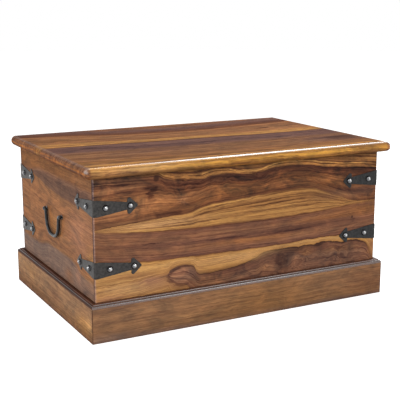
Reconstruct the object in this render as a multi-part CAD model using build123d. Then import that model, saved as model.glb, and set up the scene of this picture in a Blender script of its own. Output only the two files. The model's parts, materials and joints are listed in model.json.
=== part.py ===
from build123d import *
import math
import os

# A toy box built as a solid wood chest: a case of edge-glued boards on a mitred plinth, a bullnosed lid on
# two butt hinges, iron straps round the corners and a drop handle on each end.
# Millimetres, +Z up. X runs along the chest, the front faces -Y, and the origin is on the floor, at the
# middle of the space that the whole chest takes up.

os.makedirs("parts", exist_ok=True)

# --- Case ---
case_width = 850
case_depth = 574
case_top = 410
case_raise = 12
board_thickness = 20
corner_arris = 4
rabbet_tongue = 8
top_board_height = 140
middle_board_height = 83
end_top_board_height = 230

# --- Floor of the case ---
floor_level = 38
floor_thickness = 12
floor_gap = 1
ledger_width = 20
ledger_height = 20
bearer_setback = 290

# --- Plinth ---
plinth_outset = 16
plinth_height = 88.6
moulding_height = 11.4
moulding_fillet = 4.5
moulding_quirk = 1.3
moulding_quirk_depth = 2.2
moulding_bead_radius = 2.3
moulding_lower_quirk = 0.8

# --- Lid ---
lid_overhang = 25
lid_thickness = 28
lid_gap = 0.4
lid_corner_radius = 5
lid_back_arris = 2
batten_width = 60
batten_thickness = 18
batten_setback = 125
batten_end_gap = 12

# --- Corner straps and their nails ---
strap_thickness = 2
strap_half_width = 21
strap_shoulder = 10
strap_neck_half_width = 9
strap_arm_length = 120
strap_arm_shift = 4
strap_head_length = 28
strap_lobe_radius = 5
strap_tip_radius = 4
upper_strap_drop = 75
lower_strap_rise = 81
nail_head_radius = 8.5
nail_head_height = 6.2
nail_shank_radius = 1.8
nail_length = 16
nail_hole_clearance = 0.2
outer_nail_setback = 20
inner_nail_setback = 85

# --- Drop handles ---
bail_rod_radius = 4.5
bail_stand_off = 6.5
bail_drop = 61
bail_top_half_width = 51.5
bail_bottom_half_width = 43.5
bail_elbow_radius = 5.5
bail_bottom_radius = 40
bail_shoulder_length = 0.5
bail_pivot_radius = 3
bail_upset_radius = 4.4
bail_upset_length = 4
bail_upset_round = 1.6
handle_drop = 142
eye_radius = 5.8
eye_thickness = 4
eye_side_gap = 0.6
eye_collar_radius = 6
eye_collar_thickness = 1.5
eye_shank_radius = 2.5
eye_shank_clearance = 0.2
eye_shank_tail = 2
washer_radius = 7
washer_thickness = 1.6
nut_across_flats = 8
nut_height = 4

# --- Hinges ---
hinge_setback = 145
hinge_length = 75
hinge_leaf_depth = 17
hinge_leaf_thickness = 2
hinge_knuckle_radius = 4
hinge_pin_radius = 2
hinge_pin_head_radius = 3
hinge_pin_head_height = 1.5
hinge_knuckle_gap = 0.3
hinge_knuckles = 5
hinge_back_gap = 0.3
hinge_screws = 3
hinge_screw_spacing = 26
hinge_screw_length = 19

# --- Lid stays ---
stay_reach = 150
stay_bracket_drop = 14
stay_rest_angle = 14
lid_open_angle = 95
stay_arm_width = 16
stay_arm_thickness = 2
stay_pin_radius = 3
stay_pin_head_radius = 6
stay_pin_head_thickness = 1.6
stay_slot_clearance = 0.4
stay_side_gap = 0.5
stay_plate_thickness = 2
stay_plate_width = 26
stay_plate_half_height = 26
stay_plate_corner = 6
stay_bracket_thickness = 2
stay_bracket_half_width = 18
stay_bracket_flange = 24
stay_rivet_radius = 2.5
stay_rivet_head_radius = 4.5
stay_rivet_head_thickness = 1.5
stay_screw_spread = 17

# --- Running fits: the gap round a pin in its bore ---
running_clearance = 0.05

# --- Wood screws ---
screw_radius = 1.75
screw_head_radius = 3.5
screw_head_depth = 1.7
stay_screw_length = 16
batten_screw_length = 36
batten_screws = 4
batten_screw_end = 45

# --- Planes that everything else is placed from ---
case_left = -case_width / 2
case_right = case_width / 2
whole_depth = lid_overhang + case_depth + plinth_outset
case_front = lid_overhang - whole_depth / 2
case_back = case_front + case_depth
inner_left = case_left + board_thickness
inner_right = case_right - board_thickness
inner_front = case_front + board_thickness
inner_back = case_back - board_thickness
middle_y = (case_front + case_back) / 2
ledger_bottom = floor_level - ledger_height
plinth_top = plinth_height + moulding_height
lid_bottom = case_top + lid_gap
lid_top = lid_bottom + lid_thickness
upper_strap_z = case_top - upper_strap_drop
lower_strap_z = plinth_top + lower_strap_rise
bail_pivot_z = case_top - handle_drop
bail_pivot_x = case_left - bail_stand_off
hinge_y = case_back + hinge_knuckle_radius + hinge_back_gap
hinge_z = case_top + lid_gap / 2
hinge_places = (case_left + hinge_setback, case_right - hinge_setback)
bearer_places = (case_left + bearer_setback, case_right - bearer_setback)
batten_places = {"left": case_left + batten_setback, "middle": 0, "right": case_right - batten_setback}

INWARD_X = {"left": 1, "right": -1}


def block(x_span, y_span, z_span):
    """A box between two places on each axis."""
    spans = (x_span, y_span, z_span)
    size = [high - low for low, high in spans]
    middle = [(high + low) / 2 for low, high in spans]
    return Pos(*middle) * Box(*size)


def rod(start, direction, length, radius):
    """A round bar from a start point along a direction."""
    bar = Cylinder(radius, length, align=(Align.CENTER, Align.CENTER, Align.MIN))
    return Plane(origin=start, z_dir=direction) * bar


def group(solids):
    """Several loose solids as one piece of output."""
    return Compound([solid for shape in solids for solid in shape.solids()])


def to_right(shape):
    """The twin of a left-hand piece."""
    return mirror(shape, about=Plane.YZ)


def turned(outline):
    """A body of revolution about Z, from a closed outline in X and Z."""
    return revolve(Plane.XZ * make_face(outline), Axis.Z)


def wood_screw(start, direction, length):
    """A countersunk screw: its flat head is at the start and it runs along the direction."""
    outline = Polyline(
        (0, 0),
        (screw_head_radius, 0),
        (screw_radius, screw_head_depth),
        (screw_radius, length - screw_radius),
        (0, length),
        close=True,
    )
    return Plane(origin=start, z_dir=direction) * turned(outline)


def strap_nail(start, inward):
    """A domed nail whose head sits on the strap at the start, and whose shank runs inward."""
    sphere_radius = (nail_head_radius**2 + nail_head_height**2) / (2 * nail_head_height)
    halfway = nail_head_radius / 2
    halfway_height = nail_head_height - sphere_radius + math.sqrt(sphere_radius**2 - halfway**2)
    dome = ThreePointArc((0, -nail_head_height), (halfway, -halfway_height), (nail_head_radius, 0))
    shank_end = strap_thickness + nail_length
    shank = Polyline(
        (nail_head_radius, 0),
        (nail_shank_radius, 0),
        (nail_shank_radius, shank_end - nail_shank_radius),
        (0, shank_end),
        (0, -nail_head_height),
    )
    return Plane(origin=start, z_dir=inward) * turned(dome + shank)


# --- Straps ---


def strap_corners():
    """Where each strap goes: its name, its corner, its height and the lengths of its two arms."""
    for level, height, shift in (
        ("upper", upper_strap_z, -strap_arm_shift),
        ("lower", lower_strap_z, strap_arm_shift),
    ):
        for face, y, y_inward in (("front", case_front, 1), ("back", case_back, -1)):
            for end, x in (("left", case_left), ("right", case_right)):
                yield {
                    "name": f"strap_{level}_{face}_{end}",
                    "corner": (x, y),
                    "inward": (INWARD_X[end], y_inward),
                    "height": height,
                    "face_arm": strap_arm_length + shift,
                    "end_arm": strap_arm_length - shift,
                }


def strap_arm_outline(length):
    """The flat shape of one arm: a taper from the bend to the neck, and an arrowhead with two lobes."""
    lobe_x = length - strap_head_length + strap_lobe_radius
    lobe_y = strap_half_width - strap_lobe_radius
    lobes = [Pos(lobe_x, side * lobe_y) * Circle(strap_lobe_radius) for side in (-1, 1)]
    tip = Pos(length - strap_tip_radius, 0) * Circle(strap_tip_radius)
    head = make_hull([edge for circle in (*lobes, tip) for edge in circle.edges()])
    taper = Polygon(
        (corner_arris, strap_half_width),
        (corner_arris, -strap_half_width),
        (strap_shoulder, -strap_half_width),
        (lobe_x, -strap_neck_half_width),
        (lobe_x, strap_neck_half_width),
        (strap_shoulder, strap_half_width),
        align=None,
    )
    return taper + head


def nail_distances(arm_length):
    """How far the two nails of an arm stand from the corner of the case."""
    return (arm_length - inner_nail_setback, arm_length - outer_nail_setback)


def strap(place):
    """One strap, made for the corner at the origin with its arms along +X and +Y, then set in place."""
    face_plane = Plane(origin=(0, 0, 0), x_dir=(1, 0, 0), z_dir=(0, -1, 0))
    end_plane = Plane(origin=(0, 0, 0), x_dir=(0, 1, 0), z_dir=(-1, 0, 0))
    arms = []
    for plane, length in ((face_plane, place["face_arm"]), (end_plane, place["end_arm"])):
        flat = strap_arm_outline(length)
        for distance in nail_distances(length):
            flat -= Pos(distance, 0) * Circle(nail_shank_radius + nail_hole_clearance)
        arms.append(extrude(plane * flat, strap_thickness))
    bend = Circle(corner_arris + strap_thickness) - Circle(corner_arris)
    bend = Pos(corner_arris, corner_arris) * bend
    bend &= Rectangle(
        corner_arris + strap_thickness,
        corner_arris + strap_thickness,
        align=(Align.MAX, Align.MAX),
    ).moved(Pos(corner_arris, corner_arris))
    fold = extrude(Pos(0, 0, -strap_half_width) * bend, 2 * strap_half_width)
    shape = arms[0] + arms[1] + fold
    return at_corner(shape, place)


def at_corner(shape, place):
    """Moves a piece made for the front left corner to its own corner, turned to face inward."""
    if place["inward"][0] < 0:
        shape = mirror(shape, about=Plane.YZ)
    if place["inward"][1] < 0:
        shape = mirror(shape, about=Plane.XZ)
    return Pos(*place["corner"], place["height"]) * shape


def nails_of_strap(place):
    """The four nails that hold one strap."""
    nails = []
    for distance in nail_distances(place["face_arm"]):
        nails.append(strap_nail((distance, -strap_thickness, 0), (0, 1, 0)))
    for distance in nail_distances(place["end_arm"]):
        nails.append(strap_nail((-strap_thickness, distance, 0), (1, 0, 0)))
    return [at_corner(nail, place) for nail in nails]


# --- Drop handles ---


def elbow_reach():
    """How far the bend between a leg and its out-turned end runs along the end."""
    lean = math.atan2(bail_top_half_width - bail_bottom_half_width, bail_drop)
    return bail_elbow_radius * math.tan((math.pi / 2 + lean) / 2)


def shoulder_reach():
    """How far from the middle of the handle the thick part of its rod ends."""
    return bail_top_half_width + elbow_reach() + bail_shoulder_length


def eye_places():
    """The middle of each eye of the left handle."""
    outboard = shoulder_reach() + eye_side_gap + eye_thickness / 2
    return [(bail_pivot_x, middle_y + side * outboard, bail_pivot_z) for side in (-1, 1)]


def left_bail():
    """The U-shaped bail: a bent rod whose ends turn outward into thin pivots, upset beyond the eyes."""
    shoulder = shoulder_reach()
    upset_start = shoulder + eye_thickness + 2 * eye_side_gap
    bottom_z = bail_pivot_z - bail_drop
    points = [
        (bail_pivot_x, middle_y - shoulder, bail_pivot_z),
        (bail_pivot_x, middle_y - bail_top_half_width, bail_pivot_z),
        (bail_pivot_x, middle_y - bail_bottom_half_width, bottom_z),
        (bail_pivot_x, middle_y + bail_bottom_half_width, bottom_z),
        (bail_pivot_x, middle_y + bail_top_half_width, bail_pivot_z),
        (bail_pivot_x, middle_y + shoulder, bail_pivot_z),
    ]
    radii = [bail_elbow_radius, bail_bottom_radius, bail_bottom_radius, bail_elbow_radius]
    path = FilletPolyline(*points, radius=radii)
    section = Plane(origin=points[0], z_dir=(0, 1, 0)) * Circle(bail_rod_radius)
    shape = sweep(section, path=path)
    for side in (-1, 1):
        outward = (0, side, 0)
        pivot_start = (bail_pivot_x, middle_y + side * (shoulder - bail_shoulder_length), bail_pivot_z)
        pivot_length = upset_start + bail_upset_length / 2 - shoulder + bail_shoulder_length
        shape += rod(pivot_start, outward, pivot_length, bail_pivot_radius)
        knob = rod((0, 0, 0), (0, 0, 1), bail_upset_length, bail_upset_radius)
        knob = fillet(knob.edges(), bail_upset_round)
        upset_place = (bail_pivot_x, middle_y + side * upset_start, bail_pivot_z)
        shape += Plane(origin=upset_place, z_dir=outward) * knob
    return shape


def left_eye_bolt(place):
    """An eye, its collar against the end panel, and its shank through the panel to the nut."""
    x, y, z = place
    eye = rod((x, y - eye_thickness / 2, z), (0, 1, 0), eye_thickness, eye_radius)
    collar = rod((case_left, y, z), (-1, 0, 0), eye_collar_thickness, eye_collar_radius)
    shank_start = x + (bail_pivot_radius + eye_radius) / 2
    shank_end = inner_left + washer_thickness + nut_height + eye_shank_tail
    shank = rod((shank_start, y, z), (1, 0, 0), shank_end - shank_start, eye_shank_radius)
    hole_radius = bail_pivot_radius + running_clearance
    hole = rod((x, y - eye_thickness, z), (0, 1, 0), 2 * eye_thickness, hole_radius)
    return eye + collar + shank - hole


def left_washer(place):
    """A washer against the inside of the end panel."""
    x, y, z = place
    disc = rod((inner_left, y, z), (1, 0, 0), washer_thickness, washer_radius)
    hole_radius = eye_shank_radius + eye_shank_clearance
    return disc - rod((inner_left, y, z), (1, 0, 0), washer_thickness, hole_radius)


def left_nut(place):
    """A hexagon nut on the washer."""
    x, y, z = place
    hexagon = RegularPolygon(nut_across_flats / 2, 6, major_radius=False) - Circle(eye_shank_radius)
    plane = Plane(origin=(inner_left + washer_thickness, y, z), z_dir=(1, 0, 0))
    return extrude(plane * hexagon, nut_height)


def left_shank_hole(place):
    """The clearance hole for an eye bolt in the end panel."""
    x, y, z = place
    return rod((case_left, y, z), (1, 0, 0), board_thickness, eye_shank_radius + eye_shank_clearance)


# --- Hinges ---


def knuckle_spans(owner):
    """The stretches of the barrel that belong to one leaf, along the hinge from its middle."""
    pitch = hinge_length / hinge_knuckles
    for index in range(hinge_knuckles):
        if index % 2 == owner:
            low = index * pitch - hinge_length / 2
            yield (low + hinge_knuckle_gap / 2, low + pitch - hinge_knuckle_gap / 2)


def hinge_screw_places():
    """Where the screws of one leaf stand, along the hinge from its middle."""
    first = -(hinge_screws - 1) / 2
    return [(first + index) * hinge_screw_spacing for index in range(hinge_screws)]


def leaf_screws(middle_x, up):
    """The screws of one leaf of a hinge."""
    y = case_back - hinge_leaf_depth / 2
    z = lid_bottom if up > 0 else case_top
    return [
        wood_screw((middle_x + x, y, z), (0, 0, up), hinge_screw_length)
        for x in hinge_screw_places()
    ]


def leaf_plate(middle_x, up):
    """The flat part of a leaf, let into the wood, up to the back face."""
    z = lid_bottom if up > 0 else case_top
    x_span = (middle_x - hinge_length / 2, middle_x + hinge_length / 2)
    z_span = sorted((z, z + up * hinge_leaf_thickness))
    return block(x_span, (case_back - hinge_leaf_depth, case_back), z_span)


def hinge_leaf(middle_x, owner, up):
    """A leaf: its plate, its share of the knuckles and its countersunk holes."""
    shape = leaf_plate(middle_x, up)
    z = lid_bottom if up > 0 else case_top
    for low, high in knuckle_spans(owner):
        shape += rod((middle_x + low, hinge_y, hinge_z), (1, 0, 0), high - low, hinge_knuckle_radius)
        shape += block(
            (middle_x + low, middle_x + high),
            (case_back - hinge_leaf_depth, hinge_y),
            sorted((z, z + up * hinge_leaf_thickness)),
        )
    bore = hinge_pin_radius + running_clearance
    shape -= rod((middle_x - hinge_length, hinge_y, hinge_z), (1, 0, 0), 2 * hinge_length, bore)
    for screw in leaf_screws(middle_x, up):
        shape -= screw
    return shape


def hinge_pin(middle_x):
    """The pin of one hinge, with a flat head at each end of the barrel."""
    start = middle_x - hinge_length / 2
    shape = rod((start, hinge_y, hinge_z), (1, 0, 0), hinge_length, hinge_pin_radius)
    for x in (start - hinge_pin_head_height, start + hinge_length):
        shape += rod((x, hinge_y, hinge_z), (1, 0, 0), hinge_pin_head_height, hinge_pin_head_radius)
    return shape


# --- Lid stays ---

# The rivet on the lid and the pin on the case are equally far from the hinge, so the arm turns half as far
# as the lid, and the pin slides along the slot.
stay_lid_angle = math.degrees(math.asin(stay_bracket_drop / stay_reach))
stay_case_angle = stay_lid_angle + stay_rest_angle
stay_slot_near = 2 * stay_reach * math.sin(math.radians(stay_rest_angle / 2))
stay_slot_far = 2 * stay_reach * math.sin(math.radians((stay_rest_angle + lid_open_angle) / 2))
stay_arm_x = inner_left + stay_plate_thickness + stay_side_gap
stay_bracket_x = stay_arm_x + stay_arm_thickness + stay_side_gap


def below_hinge(angle):
    """The place at the stays' reach from the hinge, at an angle below the lid's underside."""
    turn = math.radians(angle)
    return (hinge_y - stay_reach * math.cos(turn), hinge_z - stay_reach * math.sin(turn))


stay_rivet_y, stay_rivet_z = below_hinge(stay_lid_angle)
stay_pin_y, stay_pin_z = below_hinge(stay_case_angle)


def left_stay_arm():
    """The slotted arm, hanging from the lid bracket past the pin on the case."""
    half = stay_arm_width / 2
    slot_half = stay_pin_radius + stay_slot_clearance
    near = stay_slot_near - 2 * stay_slot_clearance
    tail = stay_slot_far + slot_half + half
    flat = Pos(tail / 2, 0) * SlotCenterToCenter(tail, stay_arm_width)
    flat -= Circle(stay_rivet_radius + running_clearance)
    flat -= Pos((near + stay_slot_far) / 2, 0) * SlotCenterToCenter(stay_slot_far - near, 2 * slot_half)
    along = (0, stay_pin_y - stay_rivet_y, stay_pin_z - stay_rivet_z)
    plane = Plane(origin=(stay_arm_x, stay_rivet_y, stay_rivet_z), x_dir=along, z_dir=(1, 0, 0))
    return extrude(plane * flat, stay_arm_thickness)


def left_stay_rivet():
    """The rivet that the arm turns on, through the arm and the bracket."""
    low = stay_arm_x - stay_side_gap / 2 - stay_rivet_head_thickness
    high = stay_bracket_x + stay_bracket_thickness
    place = (stay_rivet_y, stay_rivet_z)
    shape = rod((low, *place), (1, 0, 0), high - low, stay_rivet_radius)
    for x in (low, high):
        shape += rod((x, *place), (1, 0, 0), stay_rivet_head_thickness, stay_rivet_head_radius)
    return shape


def left_bracket_screws():
    """The screws of the lid bracket."""
    x = stay_bracket_x + stay_bracket_thickness + stay_bracket_flange / 2
    z = lid_bottom - stay_bracket_thickness
    spread = stay_bracket_half_width / 2
    return [
        wood_screw((x, stay_rivet_y + side * spread, z), (0, 0, 1), stay_screw_length)
        for side in (-1, 1)
    ]


def left_stay_bracket():
    """An angle bracket: a flange on the lid's underside and an ear for the rivet."""
    y_span = (stay_rivet_y - stay_bracket_half_width, stay_rivet_y + stay_bracket_half_width)
    ear_x = (stay_bracket_x, stay_bracket_x + stay_bracket_thickness)
    flange_x = (stay_bracket_x, ear_x[1] + stay_bracket_flange)
    half = stay_arm_width / 2
    shape = block(flange_x, y_span, (lid_bottom - stay_bracket_thickness, lid_bottom))
    shape += block(ear_x, (stay_rivet_y - half, stay_rivet_y + half), (stay_rivet_z, lid_bottom))
    shape += rod((stay_bracket_x, stay_rivet_y, stay_rivet_z), (1, 0, 0), stay_bracket_thickness, half)
    shape -= rod((stay_bracket_x, stay_rivet_y, stay_rivet_z), (1, 0, 0), stay_bracket_thickness,
                 stay_rivet_radius)
    for screw in left_bracket_screws():
        shape -= screw
    return shape


def left_plate_screws():
    """The screws of the case plate."""
    x = inner_left + stay_plate_thickness
    return [
        wood_screw((x, stay_pin_y, stay_pin_z + side * stay_screw_spread), (-1, 0, 0), stay_screw_length)
        for side in (-1, 1)
    ]


def left_stay_plate():
    """The plate on the end panel with the headed pin that the arm slides on."""
    half = stay_plate_width / 2
    shape = block(
        (inner_left, inner_left + stay_plate_thickness),
        (stay_pin_y - half, stay_pin_y + half),
        (stay_pin_z - stay_plate_half_height, stay_pin_z + stay_plate_half_height),
    )
    shape = fillet(shape.edges().filter_by(Axis.X), stay_plate_corner)
    head_x = stay_arm_x + stay_arm_thickness + stay_side_gap / 2
    place = (stay_pin_y, stay_pin_z)
    shape += rod((inner_left, *place), (1, 0, 0), head_x - inner_left, stay_pin_radius)
    shape += rod((head_x, *place), (1, 0, 0), stay_pin_head_thickness, stay_pin_head_radius)
    for screw in left_plate_screws():
        shape -= screw
    return shape


# --- Lid ---


def whole_lid():
    """The lid as one slab: half-round along the front and both ends, mitred at the front corners."""
    nose = lid_thickness / 2
    middle_z = lid_bottom + nose
    front = case_front - lid_overhang
    width = case_width + 2 * lid_overhang
    depth = case_back - front
    across = Rectangle(depth - nose, lid_thickness, align=(Align.MIN, Align.CENTER))
    across += Circle(nose)
    side_plane = Plane(origin=(-width / 2, front + nose, middle_z), x_dir=(0, 1, 0), z_dir=(1, 0, 0))
    front_nosed = extrude(side_plane * across, width)
    along = SlotOverall(width, lid_thickness)
    front_plane = Plane(origin=(0, front, middle_z), x_dir=(1, 0, 0), z_dir=(0, -1, 0))
    end_nosed = extrude(front_plane * along, -depth)
    blank = block((-width / 2, width / 2), (front, case_back), (lid_bottom, lid_top))
    front_corners = blank.edges().filter_by(Axis.Z).group_by(Axis.Y)[0]
    blank = fillet(front_corners, lid_corner_radius)
    back_edges = blank.edges().filter_by(Axis.X).group_by(Axis.Y)[-1]
    blank = fillet(back_edges, lid_back_arris)
    return front_nosed & end_nosed & blank


def lid_boards(fasteners):
    """The lid's boards, from the front: the slab parted along its length."""
    names = ("front", "front_middle", "back_middle", "back")
    front = case_front - lid_overhang
    board = (case_back - front) / len(names)
    slab = whole_lid()
    for fastener in fasteners:
        slab -= fastener
    for index, name in enumerate(names):
        strip = block(
            (case_left - lid_overhang, case_right + lid_overhang),
            (front + index * board, front + (index + 1) * board),
            (lid_bottom, lid_top),
        )
        yield f"lid_board_{name}", slab & strip


def batten_screws_at(middle_x):
    """The screws of one batten, spread along it."""
    low = inner_front + batten_screw_end
    high = inner_back - batten_screw_end
    step = (high - low) / (batten_screws - 1)
    z = lid_bottom - batten_thickness
    return [
        wood_screw((middle_x, low + index * step, z), (0, 0, 1), batten_screw_length)
        for index in range(batten_screws)
    ]


def batten(middle_x):
    """A cleat across the lid's underside, inside the case when the lid is down."""
    shape = block(
        (middle_x - batten_width / 2, middle_x + batten_width / 2),
        (inner_front + batten_end_gap, inner_back - batten_end_gap),
        (lid_bottom - batten_thickness, lid_bottom),
    )
    for screw in batten_screws_at(middle_x):
        shape -= screw
    return shape


# --- Case, plinth and floor ---


def cut(shape, tools):
    """A board with its holes and recesses."""
    for tool in tools:
        shape -= tool
    return shape


def long_board(face_y, inward, z_span):
    """A board of the front or back panel, rabbeted at both ends to cover the end panels."""
    y_span = sorted((face_y, face_y + inward * board_thickness))
    shape = block((case_left, case_right), y_span, z_span)
    corners = shape.edges().filter_by(Axis.Z).sort_by(Axis.Y)
    shape = fillet(corners[:2] if inward > 0 else corners[2:], corner_arris)
    rabbet_y = sorted((face_y + inward * rabbet_tongue, face_y + inward * board_thickness))
    for x_span in ((case_left, inner_left), (inner_right, case_right)):
        shape -= block(x_span, rabbet_y, z_span)
    return shape


def end_board(x_span, z_span):
    """A board of an end panel, held in the rabbets of the front and back panels."""
    return block(x_span, (case_front + rabbet_tongue, case_back - rabbet_tongue), z_span)


def case_boards(fasteners):
    """Every board of the case's four walls."""
    seam = case_top - top_board_height
    lower_seam = seam - middle_board_height
    rows = {"top": (seam, case_top), "middle": (lower_seam, seam), "bottom": (case_raise, lower_seam)}
    for panel, face_y, inward in (("front", case_front, 1), ("back", case_back, -1)):
        for row, z_span in rows.items():
            yield f"{panel}_board_{row}", cut(long_board(face_y, inward, z_span), fasteners)
    end_seam = case_top - end_top_board_height
    end_rows = {"top": (end_seam, case_top), "bottom": (case_raise, end_seam)}
    for end, x_span in (("left", (case_left, inner_left)), ("right", (inner_right, case_right))):
        for row, z_span in end_rows.items():
            yield f"{end}_end_board_{row}", cut(end_board(x_span, z_span), fasteners)


def moulding_outline():
    """The moulding's section: outward from the case, and up from the plinth's top edge."""
    top = moulding_height
    bead_x = moulding_fillet + moulding_quirk + moulding_bead_radius
    bead_z = top - moulding_bead_radius - moulding_lower_quirk
    groove_z = bead_z - moulding_lower_quirk
    bead_end = bead_x + moulding_bead_radius
    ovolo_x = bead_end + moulding_lower_quirk
    edge = plinth_outset
    ovolo_radius = edge - ovolo_x
    lines = Polyline(
        (edge - moulding_lower_quirk, moulding_lower_quirk),
        (edge - moulding_lower_quirk, 0),
        (0, 0),
        (0, top),
        (moulding_fillet, top),
        (moulding_fillet, top - moulding_quirk_depth),
        (moulding_fillet + moulding_quirk, top - moulding_quirk_depth),
        (moulding_fillet + moulding_quirk, bead_z),
    )
    bead = ThreePointArc(
        (bead_x - moulding_bead_radius, bead_z),
        (bead_x, bead_z + moulding_bead_radius),
        (bead_end, bead_z),
    )
    groove = Polyline((bead_end, bead_z), (bead_end, groove_z), (ovolo_x, groove_z))
    ovolo_height = groove_z - moulding_lower_quirk
    ovolo = EllipticalCenterArc((ovolo_x, moulding_lower_quirk), ovolo_radius, ovolo_height, arc_size=90)
    shelf = Line((edge, moulding_lower_quirk), (edge - moulding_lower_quirk, moulding_lower_quirk))
    return make_face(lines + bead + groove + ovolo + shelf)


def plinth_sides():
    """Each side of the plinth: its name, the turn from the front, its length and its distance."""
    half_depth = case_depth / 2
    half_width = case_width / 2
    return (
        ("front", 0, half_width, half_depth),
        ("right", 90, half_depth, half_width),
        ("back", 180, half_width, half_depth),
        ("left", 270, half_depth, half_width),
    )


def mitred_footprint(half_length, distance):
    """The plan of one side of the plinth, seen as the front one: square inside, mitred at both ends."""
    outset = plinth_outset
    return Polygon(
        (-half_length - outset, -distance - outset),
        (half_length + outset, -distance - outset),
        (half_length, -distance),
        (-half_length, -distance),
        align=None,
    )


def plinth_and_moulding():
    """The plinth boards and the moulding on them."""
    for name, turn, half_length, distance in plinth_sides():
        placed = Pos(0, middle_y, 0) * Rot(0, 0, turn)
        footprint = mitred_footprint(half_length, distance)
        yield f"plinth_{name}", placed * extrude(footprint, plinth_height)
        end = half_length + plinth_outset
        plane = Plane(origin=(end, -distance, plinth_height), x_dir=(0, -1, 0), z_dir=(-1, 0, 0))
        strip = extrude(plane * moulding_outline(), 2 * end, dir=(-1, 0, 0))
        mitres = extrude(Pos(0, 0, plinth_height) * footprint, moulding_height)
        yield f"moulding_{name}", placed * (strip & mitres)


def floor_parts():
    """The floor boards and what carries them."""
    z_span = (floor_level, floor_level + floor_thickness)
    names = ("front", "middle", "back")
    x_span = (inner_left + floor_gap, inner_right - floor_gap)
    board = (inner_back - inner_front - floor_gap * (len(names) + 1)) / len(names)
    for index, name in enumerate(names):
        low = inner_front + floor_gap + index * (board + floor_gap)
        yield f"floor_board_{name}", block(x_span, (low, low + board), z_span)
    z_span = (ledger_bottom, floor_level)
    front_y = (inner_front, inner_front + ledger_width)
    back_y = (inner_back - ledger_width, inner_back)
    long_ledgers = [block((inner_left, inner_right), y_span, z_span) for y_span in (front_y, back_y)]
    yield "floor_ledgers_long", group(long_ledgers)
    between = (front_y[1], back_y[0])
    left_x = (inner_left, inner_left + ledger_width)
    right_x = (inner_right - ledger_width, inner_right)
    yield "floor_ledgers_short", group([block(x_span, between, z_span) for x_span in (left_x, right_x)])
    half = ledger_width / 2
    bearers = [block((x - half, x + half), between, z_span) for x in bearer_places]
    yield "floor_bearers", group(bearers)


# --- The whole chest ---


def both_ends(make, places):
    """Left-hand pieces, one for each place, and their right-hand twins."""
    left = [make(place) for place in places]
    return left + [to_right(shape) for shape in left]


def all_parts():
    """Every sub-part by name."""
    parts = {}
    corners = list(strap_corners())
    nails = [nail for place in corners for nail in nails_of_strap(place)]
    eyes = eye_places()
    shank_holes = both_ends(left_shank_hole, eyes)
    case_leaf_screws = [screw for x in hinge_places for screw in leaf_screws(x, -1)]
    lid_leaf_screws = [screw for x in hinge_places for screw in leaf_screws(x, 1)]
    plate_screws = left_plate_screws() + [to_right(screw) for screw in left_plate_screws()]
    bracket_screws = left_bracket_screws() + [to_right(screw) for screw in left_bracket_screws()]
    cleat_screws = [screw for x in batten_places.values() for screw in batten_screws_at(x)]

    case_recesses = [leaf_plate(x, -1) for x in hinge_places]
    lid_recesses = [leaf_plate(x, 1) for x in hinge_places]
    parts.update(case_boards(nails + shank_holes + case_recesses + case_leaf_screws + plate_screws))
    parts.update(lid_boards(lid_recesses + lid_leaf_screws + bracket_screws + cleat_screws))
    parts.update(plinth_and_moulding())
    parts.update(floor_parts())
    for name, x in batten_places.items():
        parts[f"lid_batten_{name}"] = batten(x)
    parts["batten_screws"] = group(cleat_screws)

    for place in corners:
        parts[place["name"]] = strap(place)
    parts["strap_nails"] = group(nails)

    parts["bail_left"] = left_bail()
    parts["bail_right"] = to_right(left_bail())
    parts["eye_bolts"] = group(both_ends(left_eye_bolt, eyes))
    parts["eye_bolt_washers"] = group(both_ends(left_washer, eyes))
    parts["eye_bolt_nuts"] = group(both_ends(left_nut, eyes))

    parts["hinge_case_leaves"] = group([hinge_leaf(x, 0, -1) for x in hinge_places])
    parts["hinge_lid_leaves"] = group([hinge_leaf(x, 1, 1) for x in hinge_places])
    parts["hinge_pins"] = group([hinge_pin(x) for x in hinge_places])
    parts["hinge_case_screws"] = group(case_leaf_screws)
    parts["hinge_lid_screws"] = group(lid_leaf_screws)

    parts["stay_arm_left"] = left_stay_arm()
    parts["stay_arm_right"] = to_right(left_stay_arm())
    parts["stay_rivets"] = group([left_stay_rivet(), to_right(left_stay_rivet())])
    parts["stay_lid_brackets"] = group([left_stay_bracket(), to_right(left_stay_bracket())])
    parts["stay_case_plates"] = group([left_stay_plate(), to_right(left_stay_plate())])
    parts["stay_case_screws"] = group(plate_screws)
    parts["stay_lid_screws"] = group(bracket_screws)
    return parts


for node, shape in all_parts().items():
    export_step(shape, f"parts/{node}.step")
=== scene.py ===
"""Looks of a wooden toy box: a sheesham chest with a bullnosed lid, iron corner straps and drop handles.

Metres, in the part's own frame: X runs along the chest, the front faces -Y, and the floor is at z = 0.
"""

import json
import math

import bpy
from mathutils import Matrix, Vector

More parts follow.
